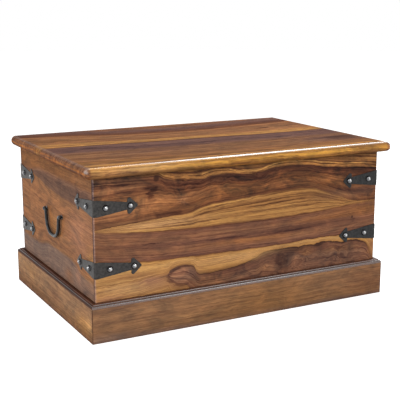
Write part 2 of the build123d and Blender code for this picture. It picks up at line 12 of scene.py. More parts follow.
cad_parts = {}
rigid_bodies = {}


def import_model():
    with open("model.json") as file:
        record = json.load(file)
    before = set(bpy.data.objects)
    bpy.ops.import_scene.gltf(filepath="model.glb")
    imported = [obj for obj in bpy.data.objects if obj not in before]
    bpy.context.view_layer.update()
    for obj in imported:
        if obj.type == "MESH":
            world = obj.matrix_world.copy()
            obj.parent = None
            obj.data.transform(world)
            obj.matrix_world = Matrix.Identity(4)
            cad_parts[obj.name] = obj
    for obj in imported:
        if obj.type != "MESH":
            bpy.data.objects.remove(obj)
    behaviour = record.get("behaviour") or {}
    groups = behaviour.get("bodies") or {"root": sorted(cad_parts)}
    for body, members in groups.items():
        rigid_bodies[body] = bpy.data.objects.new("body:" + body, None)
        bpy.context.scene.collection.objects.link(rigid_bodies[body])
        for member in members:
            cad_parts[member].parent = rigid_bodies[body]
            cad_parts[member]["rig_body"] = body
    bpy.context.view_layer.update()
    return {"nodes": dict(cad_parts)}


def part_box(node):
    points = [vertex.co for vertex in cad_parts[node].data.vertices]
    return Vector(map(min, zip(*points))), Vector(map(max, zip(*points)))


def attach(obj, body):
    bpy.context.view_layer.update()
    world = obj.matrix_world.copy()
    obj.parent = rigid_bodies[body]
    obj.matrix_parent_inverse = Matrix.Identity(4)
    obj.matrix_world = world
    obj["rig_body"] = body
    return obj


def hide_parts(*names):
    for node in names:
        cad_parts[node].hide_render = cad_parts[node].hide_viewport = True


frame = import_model()
nodes = frame["nodes"]

# --- Camera ---
camera_place = Vector((-1.2043, -2.3011, 0.8349))
camera_heading = math.radians(27.88)
camera_tilt = math.radians(-12.505)
camera_lens = 83.1  # millimetres, as the sensor
camera_sensor = 36

# --- Light ---
sky_level = 0.42  # the light that the white sky gives
floor_radius = 12
floor_grey = 0.8
floor_lift = 0.68  # what makes the lit floor show as white
light_aim = Vector((0, 0, 0.2))

# --- Faces of the chest ---
case_left, case_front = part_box("front_board_top")[0].xy
case_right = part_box("front_board_top")[1].x
case_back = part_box("back_board_top")[1].y
case_middle = (case_front + case_back) / 2
case_half = (case_back - case_front) / 2
plinth_left, plinth_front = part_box("plinth_front")[0].xy
plinth_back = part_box("plinth_back")[1].y
plinth_middle = (plinth_front + plinth_back) / 2
plinth_half = (plinth_back - plinth_front) / 2
lid_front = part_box("lid_board_front")[0].y
lid_right, lid_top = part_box("lid_board_front")[1].xz

# --- Wood ---
joint_inset = 0.008  # from the case's front and back to the joints seen on its ends
joint_line = 0.0003  # half the width of a joint's dark line
joint_fade = 0.0019  # where it has faded out
corner_highlight_inset = 0.0014  # from the case's faces to the painted highlight on its corners
bead_out = 0.0078  # from the case to the middle of the moulding's bead
ovolo_out = 0.0126
pore_depth = 0.00006
varnish_roughness = 0.24
varnish_index = 2.3

# --- Iron and steel ---
strap_voxel = 0.0008
rod_voxel = 0.0007
hammer_mark_size = 0.009
hammer_pit_size = 0.003
strap_mark_depth = 0.0007
strap_pit_depth = 0.0003
rod_mark_depth = 0.0006
nail_pit_depth = 0.0006

# --- Colours ---
gold = (0.46, 0.225, 0.068)
pale_gold = (0.56, 0.30, 0.105)
brown_gold = (0.31, 0.14, 0.045)
tan_brown = (0.25, 0.115, 0.05)
orange_brown = (0.29, 0.125, 0.052)
red_brown = (0.135, 0.048, 0.022)
purple_brown = (0.165, 0.068, 0.040)
plum_brown = (0.155, 0.078, 0.060)
olive_brown = (0.25, 0.125, 0.058)
mauve_brown = (0.18, 0.076, 0.045)
chestnut = (0.24, 0.104, 0.052)
sienna = (0.31, 0.122, 0.040)
russet = (0.225, 0.092, 0.032)
smoke_brown = (0.20, 0.122, 0.088)
plinth_brown = (0.285, 0.145, 0.070)
grey_brown = (0.15, 0.075, 0.046)
dark_brown = (0.07, 0.027, 0.016)
ink_brown = (0.035, 0.014, 0.009)
umber = (0.205, 0.098, 0.056)
rose_brown = (0.37, 0.175, 0.105)
warm_brown = (0.40, 0.18, 0.08)
drab_brown = (0.34, 0.19, 0.10)
# The orange of the lid's end grain and of the painted highlight on the lower part of its ends.
end_grain_glint_orange = (0.40, 0.15, 0.045)
# The pale colour of the painted highlight on the case's corners.
corner_highlight_pale = (0.44, 0.27, 0.20)
end_grain = (0.19, 0.115, 0.10)
curl_brown = (0.33, 0.155, 0.086)
light_gold = (0.62, 0.34, 0.135)
ochre = (0.56, 0.27, 0.052)


class Field:
    """A value that varies over a surface, worked out by shader nodes."""

    def __init__(self, graph, socket):
        self.graph = graph
        self.socket = socket

    def _math(self, operation, *others):
        return self.graph.math(operation, self, *others)

    def __add__(self, other):
        return self._math("ADD", other)

    def __sub__(self, other):
        return self._math("SUBTRACT", other)

    def __mul__(self, other):
        return self._math("MULTIPLY", other)

    def __truediv__(self, other):
        return self._math("DIVIDE", other)

    __radd__ = __add__
    __rmul__ = __mul__

    def __rsub__(self, other):
        return self * -1 + other

    def at_least(self, other):
        return self._math("MAXIMUM", other)

    def at_most(self, other):
        return self._math("MINIMUM", other)

    def power(self, other):
        return self._math("POWER", other)

    def absolute(self):
        return self._math("ABSOLUTE")

    def fade(self):
        """1 at 0, and ever nearer to 0 as the value grows."""
        return (self * -1)._math("EXPONENT")

    def share(self, low, high):
        """0 at low and below, 1 at high and above, straight between."""
        return self.graph.spread(self, low, high, 0, 1)

    def ease(self, low, high):
        """0 at low and below, 1 at high and above, with a soft start and end."""
        return self.graph.spread(self, low, high, 0, 1, "SMOOTHSTEP")


class Graph:
    """The shader nodes of one material or world."""

    def __init__(self, owner):
        self.owner = owner
        owner.use_nodes = True
        self.tree = owner.node_tree
        self.tree.nodes.clear()

    def feed(self, socket, value):
        if isinstance(value, Field):
            self.tree.links.new(value.socket, socket)
        else:
            socket.default_value = value

    def node(self, kind, inputs=(), **settings):
        node = self.tree.nodes.new("ShaderNode" + kind)
        for key, value in settings.items():
            setattr(node, key, value)
        for key, value in dict(inputs).items():
            self.feed(node.inputs[key], value)
        return node

    def field(self, node, output=0):
        return Field(self, node.outputs[output])

    def math(self, operation, *values):
        return self.field(self.node("Math", enumerate(values), operation=operation))

    def spread(self, value, low, high, new_low, new_high, kind="LINEAR"):
        inputs = {"Value": value, "From Min": low, "From Max": high, "To Min": new_low, "To Max": new_high}
        return self.field(self.node("MapRange", inputs, interpolation_type=kind))

    def vector(self, *values):
        return self.field(self.node("CombineXYZ", enumerate(values)))

    def split(self, field):
        """The x, y and z of a vector."""
        parts = self.node("SeparateXYZ", {0: field})
        return {axis: self.field(parts, axis.upper()) for axis in "xyz"}

    def place(self):
        """The point's x, y and z in metres, carried along with the piece."""
        return self.split(self.field(self.node("TexCoord"), "Object"))

    def noise(self, x, y, z, detail=2, roughness=0.5, distortion=0):
        inputs = {
            "Vector": self.vector(x, y, z), "Scale": 1, "Detail": detail, "Roughness": roughness,
            "Distortion": distortion,
        }
        return self.field(self.node("TexNoise", inputs))

    def even_noise(self, place, scale, detail, roughness):
        """A noise that is alike in every direction."""
        return self.noise(*(place[axis] * scale for axis in "xyz"), detail, roughness)

    def curve(self, value, points):
        """A smooth curve through a few points, read at value."""
        low = min(y for x, y in points)
        high = max(y for x, y in points)
        start, end = points[0][0], points[-1][0]
        node = self.node("FloatCurve", {"Value": value.share(start, end)})
        line = node.mapping.curves[0]
        height = max(high - low, 1e-6)
        placed = [((x - start) / (end - start), (y - low) / height) for x, y in points]
        line.points[0].location = placed[0]
        line.points[1].location = placed[-1]
        for spot in placed[1:-1]:
            line.points.new(*spot)
        node.mapping.update()
        return self.field(node) * height + low

    def ramp(self, value, stops):
        """Colours along a value: (place, colour) pairs in rising order."""
        start, end = stops[0][0], stops[-1][0]
        node = self.node("ValToRGB", {"Fac": value.share(start, end)})
        steps = node.color_ramp.elements
        while len(steps) < len(stops):
            steps.new(0.5)
        for step, (spot, colour) in zip(steps, stops):
            step.position = (spot - start) / (end - start)
            step.color = (*colour, 1)
        return self.field(node)

    def mix(self, share, first, second, blend="MIX"):
        # The node has sockets for each kind of data: 6, 7 and 2 are the two colours and their mix.
        node = self.node("Mix", data_type="RGBA", blend_type=blend)
        self.feed(node.inputs[0], share)
        self.feed(node.inputs[6], first if isinstance(first, Field) else (*first, 1))
        self.feed(node.inputs[7], second if isinstance(second, Field) else (*second, 1))
        return self.field(node, 2)

    def shade(self, colour, roughness, bump, bump_depth, fixed):
        """A finished surface. fixed holds the shader's other inputs, by name."""
        relief = self.node("Bump", {"Height": bump, "Distance": bump_depth, "Strength": 1})
        inputs = {"Base Color": colour, "Roughness": roughness, "Normal": self.field(relief), **fixed}
        shader = self.node("BsdfPrincipled", inputs)
        output = self.node("OutputMaterial")
        self.tree.links.new(shader.outputs[0], output.inputs[0])
        return self.owner


def nearness(along, across, spot):
    """1 at the middle of a spot, fading to 0 outside it.

    A spot is its place along and across the board, its half length and its half width.
    """
    x, z, length, width = spot
    reach_along = (along - x) / length
    reach_across = (across - z) / width
    return (reach_along * reach_along + reach_across * reach_across).fade()


def stacked(height, along, layers):
    """The level of a point: the height at which it would lie if the layers were straight.

    A layer is (level, curve), and between two curves the level changes evenly.
    """
    marks = [mark for mark, points in layers]
    edges = [along.graph.curve(along, points) for mark, points in layers]
    level = (height - edges[0]).at_most(0) + marks[0]
    for low, high, low_mark, high_mark in zip(edges, edges[1:], marks, marks[1:]):
        part = (height - low) / (high - low).at_least(0.0006)
        level = level + part.share(0, 1) * (high_mark - low_mark)
    return level + (height - edges[-1]).at_least(0)


def at_level(level, strength):
    """A strength that is one number, or (level, strength) pairs read at the level."""
    return strength if isinstance(strength, float) else level.graph.curve(level, strength)


class Board:
    """A point's place in a board, and the wood's noises there, which are drawn out along the grain."""

    def __init__(self, graph, axes, face, seed):
        self.graph = graph
        self.seed = seed
        self.place = graph.place()
        self.along, self.across, self.through = (self.place[axis] for axis in axes)
        self.depth = self.through - face
        self.ripple = self.noise(30, self.across * 80, self.depth * 70, 3, 0.6) - 0.5
        self.fibre = graph.noise(self.along * 30, self.across * 1700, self.through * 1700, 1)
        self.pores = self.noise(50, self.across * 900, self.through * 900, 0).ease(0.64, 0.72)

    def noise(self, pace, across, through, *kind):
        """A noise that changes about pace times in a metre along the grain."""
        return self.graph.noise(self.along * pace + self.seed, across, through, *kind)

    def bent(self, wave, swirls, knots):
        """The height in the figure, which wanders and swirls, and parts round the knots."""
        along, across, depth = self.along, self.across, self.depth
        meander = self.noise(5, across * 16, depth * 16 + self.seed) - 0.5
        height = across + depth * (0.35 * wave) + meander * (0.008 * wave) + self.ripple * (0.006 * wave)
        for spot, amount in swirls:
            turn = self.noise(16, across * 30, depth * 12, 2, 0.5, 0.8) - 0.5
            height = height + turn * nearness(along, across, spot) * amount
        for knot in knots:
            middle = knot[1]
            height = (height - middle) * (1 - nearness(along, height, knot) * 0.75) + middle
        return height


class Grain:
    """The fine figure of a board, whose lines follow the level."""

    def __init__(self, board, height, level):
        depth, seed = board.depth, board.seed
        self.board = board
        self.level = level
        self.smoke = board.noise(14, level * 32, depth * 20 + seed, 4, 0.62, 1.2)
        self.band = board.noise(1.5, level * 75, depth * 30 + seed)
        self.vein = board.noise(2.6, level * 210, depth * 60 + seed, 3, 0.7)
        self.pencil = board.graph.noise(board.along * 2 + seed * 2, level * 130, depth * 40 + seed, 2, 0.6)
        self.fine = board.noise(8, level * 640, depth * 500, 2, 0.6)
        self.fleck = board.noise(24, level * 190, depth * 90, 1).ease(0.63, 0.75)
        self.wander = height + (self.vein - 0.5) * 0.02

    def patch(self, spot):
        """How much of a patch's colour shows: a spot with a frayed edge."""
        return nearness(self.board.along + self.board.ripple * 0.06, self.wander, spot)

    def streak(self, spot):
        """How dark a streak is: a spot placed by level, broken up by the bands."""
        frayed = self.level + (self.vein - 0.5) * 0.004
        near = nearness(self.board.along + self.board.ripple * 0.1, frayed, spot)
        return (near * (0.5 + self.band)).share(0.2, 0.8)

    def arc(self, spot):
        """How dark an arc is: a line round the left side of a spot."""
        near = nearness(self.board.along + self.board.ripple * 0.05, self.wander, spot)
        line = 1 - (near - 0.37).absolute().share(0.02, 0.15)
        return line * (1 - self.board.along.ease(spot[0], spot[0] + spot[2] * 0.8))

    def tone(self, lines, streaks, arcs):
        """How bright the wood is, darker in veins, pencil lines, pores, flecks, streaks and arcs."""
        tone = 0.93 + (self.band.share(0.35, 0.65) - 0.5) * 0.5 * lines
        tone = tone * (1.1 - self.vein.ease(0.46, 0.62) * lines * 0.8)
        tone = tone * (1 - (1 - (self.pencil - 0.5).absolute().share(0, 0.045)) * lines * 0.7)
        tone = tone * (0.86 + self.fine.share(0.36, 0.64) * 0.34)
        tone = tone * (0.94 + self.board.fibre * 0.12) * (1 - self.board.pores * 0.25)
        tone = tone * (1 - self.fleck * lines * 0.6)
        for spot in streaks:
            tone = tone * (1 - self.streak(spot) * 0.6)
        for spot in arcs:
            tone = tone * (1 - self.arc(spot) * 0.5)
        return tone.at_least(0.05)


def joint_gap(place, joints):
    """1 in a joint between boards, fading to 0 beside it."""
    gap = 0
    for axis, where in joints:
        line = 1 - (place[axis] - where).absolute().ease(joint_line, joint_fade)
        gap = line.at_least(gap)
    return gap


def wood(name, axes, face, seed, colours, layers=(), lines=0.5, clouds=0.5, knots=(), patches=(), streaks=(),
         swirls=(), arcs=(), joints=(), touches=(), coat=0.04, wave=1.0):
    """Sheesham, whose figure is a stack of layers across the board, each edged by a curve along it.

    axes: the names of the board's length, width and thickness
    face: where its show face is, along its thickness
    seed: a number that sets its noises apart from the other boards'
    colours: (level, colour) pairs
    layers: (level, curve) pairs
    lines, clouds: how strong the grain lines and the blotches are, a number or (level, strength) pairs
    knots: spots that the figure parts round
    patches: (spot, colour, strength)
    streaks: dark spots, whose place across the board is a level
    swirls: (spot, amount), where the figure is stirred up
    arcs: spots with a dark line round their left side
    joints: (axis, place) of the joints between boards
    touches: (what works out its strength from the place, colour)
    coat: the varnish, a number or what works it out from the place
    wave: how much the figure wanders
    """
    graph = Graph(bpy.data.materials.new(name))
    board = Board(graph, axes, face, seed)
    height = board.bent(wave, swirls, knots)
    level = stacked(height, board.along, layers) if layers else height
    grain = Grain(board, height, level)

    colour = graph.ramp(level, colours)
    for spot, tint, strength in patches:
        colour = graph.mix(grain.patch(spot) * strength, colour, tint)
    for strength, touch in touches:
        colour = graph.mix(strength(board.place), colour, touch)

    tone = grain.tone(at_level(level, lines), streaks, arcs)
    blotch = (grain.smoke - 0.5) * at_level(level, clouds)
    red = tone * (1 + blotch * 3.0)
    green = tone.power(1.15) * (1 + blotch * 2.6)
    blue = tone.power(0.95) * (1 + blotch * 1.8)
    colour = graph.mix(1, colour, graph.vector(red, green, blue), "MULTIPLY")
    for knot in knots:
        colour = graph.mix(nearness(board.along, height, knot).ease(0.45, 0.9) * 0.85, colour, ink_brown)

    relief = board.fibre * 0.3 - board.pores
    if joints:
        gap = joint_gap(board.place, joints)
        colour = graph.mix(gap * 0.85, colour, ink_brown)
        relief = relief - gap * 3
    roughness = 0.46 + grain.fine * 0.14 + board.pores * 0.1
    varnish = {
        "Specular IOR Level": 0, "Coat Weight": coat(board.place) if callable(coat) else coat,
        "Coat Roughness": varnish_roughness, "Coat IOR": varnish_index,
    }
    return graph.shade(colour, roughness, relief, pore_depth, varnish)


# --- Places on the chest ---
def past_ends(place):
    """How far a point is past the case's end faces, below 0 inside."""
    return place["x"].absolute() - case_right


def past_faces(place):
    """How far a point is past the case's front or back face, below 0 inside."""
    return (place["y"] - case_middle).absolute() - case_half


def outward(place):
    """How far a point stands out from the case."""
    return past_ends(place).at_least(past_faces(place))


def past_lid_ends(place):
    """How far a point is past the lid's ends, below 0 inside."""
    return place["x"].absolute() - lid_right


def under_top(place):
    """How far a point is under the lid's top."""
    return lid_top - place["z"]


def painted_corner_highlight(place):
    """A painted highlight along the upright corners of the case, shown as paler wood."""
    ends = 1 - (past_ends(place) + corner_highlight_inset).absolute().ease(0.0004, 0.0018)
    faces = 1 - (past_faces(place) + corner_highlight_inset).absolute().ease(0.0006, 0.0024)
    return ends * faces * 0.6


def case_ends(place):
    """The end grain of the long boards, seen on the end faces of the case."""
    return past_ends(place).ease(-0.0008, -0.0002) * 0.85


def painted_shadow_under_lid(place):
    """A painted shadow on the front, in the corner under the lid."""
    return place["z"].ease(0.405, 0.4105) * 0.7


def plinth_corners(place):
    """Dark mitres at the upright corners of the plinth."""
    past_plinth_ends = place["x"].absolute() + plinth_left
    past_plinth_faces = (place["y"] - plinth_middle).absolute() - plinth_half
    ends = 1 - past_plinth_ends.absolute().ease(0.0006, 0.002)
    return ends * (1 - past_plinth_faces.absolute().ease(0.0006, 0.002))


def plinth_foot(place):
    """Darker along the bottom edge of the plinth."""
    return (1 - place["z"].ease(0.0005, 0.006)) * 0.5


def moulding_gloss(place):
    """Varnish that shines along the moulding's bead and the shoulder of its ovolo."""
    bead = 1 - (outward(place) - bead_out).absolute().ease(0.0006, 0.0018)
    ovolo = 1 - (outward(place) - ovolo_out).absolute().ease(0.0006, 0.0018)
    return 0.12 + bead.at_least(ovolo) * 0.55


def lid_shoulders(place):
    """Darker wood round the ends of the lid, but for the pale board's end."""
    dark = 0.2 + (place["y"] - 0.055).absolute().ease(0.005, 0.05) * 0.65
    return past_lid_ends(place).ease(-0.015, -0.007) * dark


def lid_end_grain_and_glints(place):
    """The end grain of the lid, in its rounded ends, rubbed in places, and more orange towards their lower
    part as a painted highlight.
    """
    rubbed = place["x"].graph.noise(place["x"] * 60, place["y"] * 7, place["z"] * 190, 3, 0.6)
    # low gives the lower part of the rounded ends more orange: a painted highlight.
    low = 0.2 + under_top(place).ease(0.004, 0.013) * 0.8
    return past_lid_ends(place).ease(-0.016, -0.006) * rubbed.ease(0.40, 0.60) * low


def painted_shade_under_lid_edge(place):
    """Painted shade round the lower part of the lid's rounded edge."""
    return under_top(place).ease(0.0155, 0.0205) * 0.6


def worn_edge(place):
    """Bright varnish along the upper part of the rounded edge, and little on the rubbed top."""
    fall = under_top(place)
    upper = fall.ease(0.0001, 0.0005) * (1 - fall.ease(0.0024, 0.0046))
    front = 1 - place["y"].ease(lid_front + 0.012, lid_front + 0.022)
    kept = 0.25 + place["x"].ease(-0.36, -0.06) * 0.75
    corner = past_lid_ends(place).ease(-0.008, -0.001) * front * (1 - fall.ease(0.009, 0.014))
    return (upper * (0.15 + front * kept)).at_least(corner) + 0.04


# --- The front ---
# The curves of a layer are (place along the boards, height) pairs.
front_layers = [
    (0.072, [(-0.425, 0.122), (-0.36, 0.126), (-0.30, 0.133), (-0.25, 0.140), (-0.2294, 0.1425),
             (-0.222, 0.128), (-0.205, 0.118), (-0.18, 0.112), (-0.168, 0.102), (-0.155, 0.090),
             (-0.13, 0.080), (0.425, 0.080)]),
    (0.110, [(-0.425, 0.123), (-0.36, 0.127), (-0.30, 0.134), (-0.25, 0.1412), (-0.2294, 0.1445),
             (-0.222, 0.155), (-0.208, 0.161), (-0.19, 0.1635), (-0.168, 0.162), (-0.156, 0.158),
             (-0.150, 0.148), (-0.143, 0.136), (-0.13, 0.132), (-0.09, 0.133), (-0.03, 0.139),
             (0.036, 0.158), (0.06, 0.167), (0.13, 0.169), (0.22, 0.168), (0.308, 0.165), (0.36, 0.162),
             (0.384, 0.157), (0.402, 0.140), (0.412, 0.115), (0.425, 0.095)]),
    (0.185, [(-0.425, 0.205), (-0.30, 0.190), (-0.20, 0.185), (0.05, 0.182), (0.30, 0.184),
             (0.425, 0.187)]),
    (0.262, [(-0.425, 0.280), (-0.314, 0.267), (-0.203, 0.260), (0.02, 0.2575), (0.186, 0.259),
             (0.297, 0.265), (0.38, 0.272), (0.425, 0.272)]),
    (0.322, [(-0.425, 0.283), (-0.314, 0.290), (-0.231, 0.296), (-0.165, 0.297), (-0.150, 0.302),
             (-0.10, 0.313), (-0.036, 0.318), (0.05, 0.326), (0.13, 0.331), (0.186, 0.329),
             (0.242, 0.315), (0.297, 0.294), (0.353, 0.277), (0.39, 0.2735), (0.425, 0.2735)]),
    (0.388, [(-0.425, 0.409), (-0.26, 0.405), (-0.23, 0.393), (-0.15, 0.386), (-0.08, 0.392),
             (-0.02, 0.386), (0.03, 0.384), (0.07, 0.392), (0.12, 0.398), (0.18, 0.395), (0.23, 0.386),
             (0.30, 0.378), (0.36, 0.374), (0.425, 0.366)]),
]
front_colours = [
    (0.060, gold), (0.0705, brown_gold), (0.072, ink_brown), (0.075, purple_brown), (0.095, umber),
    (0.1065, purple_brown), (0.110, ink_brown), (0.1125, brown_gold), (0.125, gold), (0.160, pale_gold),
    (0.179, gold), (0.184, red_brown), (0.188, mauve_brown), (0.205, chestnut), (0.222, mauve_brown),
    (0.240, chestnut), (0.255, mauve_brown), (0.2605, red_brown), (0.264, gold), (0.276, gold),
    (0.286, gold), (0.300, brown_gold), (0.312, gold), (0.320, gold), (0.3225, red_brown),
    (0.345, sienna), (0.372, red_brown), (0.3855, dark_brown), (0.3885, brown_gold), (0.3985, gold),
    (0.402, red_brown), (0.406, brown_gold),
]
front_lines = [
    (0.05, 0.45), (0.072, 0.3), (0.09, 0.6), (0.112, 0.35), (0.15, 0.35), (0.19, 0.38), (0.25, 0.38),
    (0.265, 0.5), (0.28, 0.65), (0.315, 0.75), (0.325, 0.5), (0.345, 0.5), (0.37, 0.6), (0.385, 0.8),
    (0.41, 0.9),
]
front_clouds = [
    (0.05, 0.25), (0.072, 0.5), (0.10, 0.9), (0.114, 0.3), (0.18, 0.3), (0.19, 0.5), (0.25, 0.5),
    (0.27, 0.25), (0.318, 0.3), (0.326, 0.8), (0.345, 1.1), (0.38, 1.1), (0.41, 0.6),
]
front_knots = [(-0.258, 0.395, 0.012, 0.008), (0.344, 0.230, 0.004, 0.004)]
front_patches = [
    ((-0.38, 0.378, 0.10, 0.022), warm_brown, 0.5),
    ((-0.40, 0.318, 0.12, 0.026), warm_brown, 0.6),
    ((-0.27, 0.338, 0.09, 0.020), warm_brown, 0.35),
    ((-0.14, 0.345, 0.05, 0.014), orange_brown, 0.6),
    ((-0.200, 0.311, 0.050, 0.007), dark_brown, 0.7),
    ((-0.178, 0.326, 0.028, 0.018), dark_brown, 0.6),
    ((-0.183, 0.333, 0.015, 0.010), warm_brown, 0.8),
    ((-0.182, 0.333, 0.004, 0.003), red_brown, 0.7),
    ((-0.110, 0.345, 0.030, 0.010), dark_brown, 0.6),
    ((0.10, 0.290, 0.25, 0.030), brown_gold, 0.3),
    ((-0.26, 0.280, 0.11, 0.010), light_gold, 1.0),
    ((-0.01, 0.162, 0.11, 0.012), light_gold, 0.5),
    ((0.10, 0.350, 0.10, 0.008), orange_brown, 0.5),
    ((0.26, 0.345, 0.07, 0.006), orange_brown, 0.4),
    ((0.30, 0.325, 0.10, 0.012), dark_brown, 0.5),
    ((0.37, 0.303, 0.10, 0.015), plum_brown, 0.7),
    ((0.38, 0.307, 0.10, 0.012), dark_brown, 0.55),
    ((0.40, 0.375, 0.05, 0.006), red_brown, 0.6),
    ((0.34, 0.272, 0.06, 0.0035), gold, 0.9),
    ((0.418, 0.140, 0.014, 0.05), orange_brown, 0.9),
    ((0.28, 0.296, 0.07, 0.009), tan_brown, 0.7),
    ((0.40, 0.250, 0.14, 0.016), sienna, 0.8),
    ((0.28, 0.238, 0.12, 0.006), sienna, 0.6),
    ((0.22, 0.222, 0.14, 0.005), dark_brown, 0.5),
    ((0.02, 0.205, 0.14, 0.007), sienna, 0.6),
    ((0.10, 0.365, 0.16, 0.010), dark_brown, 0.4),
    ((0.05, 0.335, 0.16, 0.010), dark_brown, 0.3),
    ((-0.42, 0.235, 0.10, 0.03), orange_brown, 0.4),
    ((-0.194, 0.136, 0.032, 0.022), curl_brown, 1.0),
    ((-0.184, 0.136, 0.034, 0.020), curl_brown, 0.9),
    ((-0.270, 0.122, 0.045, 0.018), curl_brown, 0.7),
    ((-0.11, 0.112, 0.07, 0.016), orange_brown, 0.6),
    ((0.195, 0.152, 0.022, 0.009), orange_brown, 0.9),
    ((0.06, 0.120, 0.03, 0.014), orange_brown, 0.5),
    ((0.30, 0.145, 0.08, 0.010), tan_brown, 0.6),
    ((-0.345, 0.124, 0.090, 0.020), light_gold, 0.9),
    ((-0.33, 0.155, 0.07, 0.009), orange_brown, 0.6),
    ((-0.275, 0.137, 0.035, 0.012), rose_brown, 0.6),
    ((-0.40, 0.103, 0.06, 0.009), rose_brown, 0.6),
    ((0.115, 0.125, 0.022, 0.05), dark_brown, 0.6),
    ((0.16, 0.160, 0.03, 0.006), dark_brown, 0.6),
    ((0.00, 0.375, 0.10, 0.010), dark_brown, 0.6),
]
front_streaks = [
    (-0.274, 0.362, 0.014, 0.012), (-0.215, 0.3265, 0.05, 0.003), (-0.045, 0.221, 0.07, 0.003),
    (0.15, 0.219, 0.11, 0.003), (-0.275, 0.228, 0.025, 0.0025), (0.17, 0.289, 0.09, 0.0014),
    (0.12, 0.296, 0.12, 0.0016), (0.04, 0.303, 0.11, 0.0014), (0.19, 0.308, 0.09, 0.0013),
    (-0.06, 0.312, 0.10, 0.0011), (0.10, 0.282, 0.10, 0.0010), (-0.20, 0.291, 0.10, 0.0011),
    (0.25, 0.394, 0.12, 0.002), (0.33, 0.400, 0.10, 0.0016), (0.10, 0.3935, 0.07, 0.0012),
    (-0.12, 0.395, 0.09, 0.0018), (-0.36, 0.376, 0.06, 0.002), (-0.33, 0.366, 0.05, 0.0018),
]
front_swirls = [
    ((0.12, 0.12, 0.07, 0.035), 0.10), ((0.27, 0.13, 0.10, 0.035), 0.09),
    ((-0.05, 0.365, 0.18, 0.025), 0.035), ((-0.35, 0.14, 0.08, 0.05), 0.02),
]
front_arcs = [(-0.182, 0.136, 0.042, 0.025)]
end_joints = [("y", case_front + joint_inset), ("y", case_back - joint_inset)]
front_wood = wood(
    "front_wood", "xzy", case_front, 3.1, front_colours, front_layers, front_lines, front_clouds,
    knots=front_knots, patches=front_patches, streaks=front_streaks, swirls=front_swirls, arcs=front_arcs,
    joints=end_joints, touches=[(case_ends, end_grain), (painted_corner_highlight, corner_highlight_pale), (painted_shadow_under_lid, ink_brown)],
)

# --- The lid ---
lid_layers = [
    (-0.297, [(-0.45, -0.292), (-0.30, -0.296), (0.45, -0.298)]),
    (-0.220, [(-0.45, -0.20), (-0.16, -0.222), (0.14, -0.232), (0.26, -0.220), (0.45, -0.214)]),
    (0.000, [(-0.45, 0.021), (-0.27, 0.015), (-0.10, 0.003), (0.08, -0.003), (0.26, -0.014),
             (0.45, 0.003)]),
    (0.180, [(-0.45, 0.244), (-0.30, 0.215), (-0.156, 0.168), (-0.038, 0.153), (0.08, 0.150),
             (0.197, 0.165), (0.315, 0.185), (0.45, 0.203)]),
]
lid_colours = [
    (-0.320, brown_gold), (-0.312, ochre), (-0.301, ochre), (-0.296, brown_gold), (-0.290, tan_brown),
    (-0.283, gold), (-0.276, gold), (-0.268, tan_brown), (-0.245, brown_gold), (-0.222, orange_brown),
    (-0.21, tan_brown), (-0.12, tan_brown), (-0.08, plum_brown), (-0.01, plum_brown), (0.000, red_brown),
    (0.006, gold), (0.035, gold), (0.06, orange_brown), (0.11, tan_brown), (0.16, orange_brown),
    (0.18, red_brown), (0.24, plum_brown), (0.30, orange_brown),
]
lid_patches = [
    # The light gold spot on the left of the front's rounded edge and the gold spot on the top near its
    # front-left edge are painted highlights.
    ((-0.34, -0.308, 0.14, 0.008), light_gold, 0.8),
    ((0.38, -0.306, 0.12, 0.010), brown_gold, 0.7),
    ((-0.36, -0.285, 0.08, 0.010), gold, 0.7),
    ((0.36, -0.17, 0.12, 0.045), plum_brown, 0.9),
    ((0.38, -0.17, 0.06, 0.03), dark_brown, 0.8),
    ((-0.20, -0.14, 0.15, 0.03), plum_brown, 0.5),
    ((-0.38, 0.13, 0.12, 0.03), brown_gold, 0.5),
    ((-0.10, -0.26, 0.04, 0.012), red_brown, 0.6),
    ((0.05, -0.265, 0.09, 0.008), red_brown, 0.6),
]
lid_streaks = [(0.0, -0.065, 0.03, 0.006), (-0.33, -0.04, 0.03, 0.006), (0.28, 0.10, 0.03, 0.008)]
lid_wood = wood(
    "lid_wood", "xyz", lid_top, 11.7, lid_colours, lid_layers, patches=lid_patches, streaks=lid_streaks,
    touches=[(lid_shoulders, umber), (lid_end_grain_and_glints, end_grain_glint_orange), (painted_shade_under_lid_edge, red_brown)], coat=worn_edge,
)

# --- The left end ---
left_layers = [
    (0.150, [(-0.30, 0.147), (-0.20, 0.150), (-0.155, 0.165), (-0.10, 0.171), (0.05, 0.172),
             (0.14, 0.158), (0.30, 0.156)]),
    (0.325, [(-0.30, 0.318), (-0.10, 0.321), (0.0, 0.325), (0.08, 0.332), (0.17, 0.345), (0.30, 0.352)]),
    (0.368, [(-0.30, 0.371), (-0.10, 0.367), (0.10, 0.366), (0.20, 0.352), (0.30, 0.35)]),
]
left_colours = [
    (0.08, smoke_brown), (0.142, smoke_brown), (0.150, tan_brown), (0.156, orange_brown),
    (0.30, orange_brown), (0.322, tan_brown), (0.328, grey_brown), (0.358, grey_brown), (0.366, umber),
    (0.378, russet), (0.41, russet),
]
left_patches = [
    ((-0.21, 0.388, 0.10, 0.012), warm_brown, 0.35),
    ((-0.20, 0.25, 0.09, 0.05), rose_brown, 0.8),
    ((-0.26, 0.20, 0.03, 0.04), gold, 0.6),
    ((-0.22, 0.25, 0.05, 0.03), orange_brown, 0.6),
    ((-0.10, 0.12, 0.03, 0.02), orange_brown, 0.6),
    ((-0.25, 0.125, 0.05, 0.028), warm_brown, 0.25),
    ((-0.165, 0.135, 0.022, 0.022), rose_brown, 0.4),
    # The gold spot between the handle's arms is a painted glow of reflected light.
    ((0.00, 0.232, 0.04, 0.028), gold, 0.4),
]
left_wood = wood(
    "left_end_wood", "yzx", case_left, 5.3, left_colours, left_layers, lines=0.2, clouds=0.55,
    patches=left_patches, joints=end_joints, coat=0.06,
)

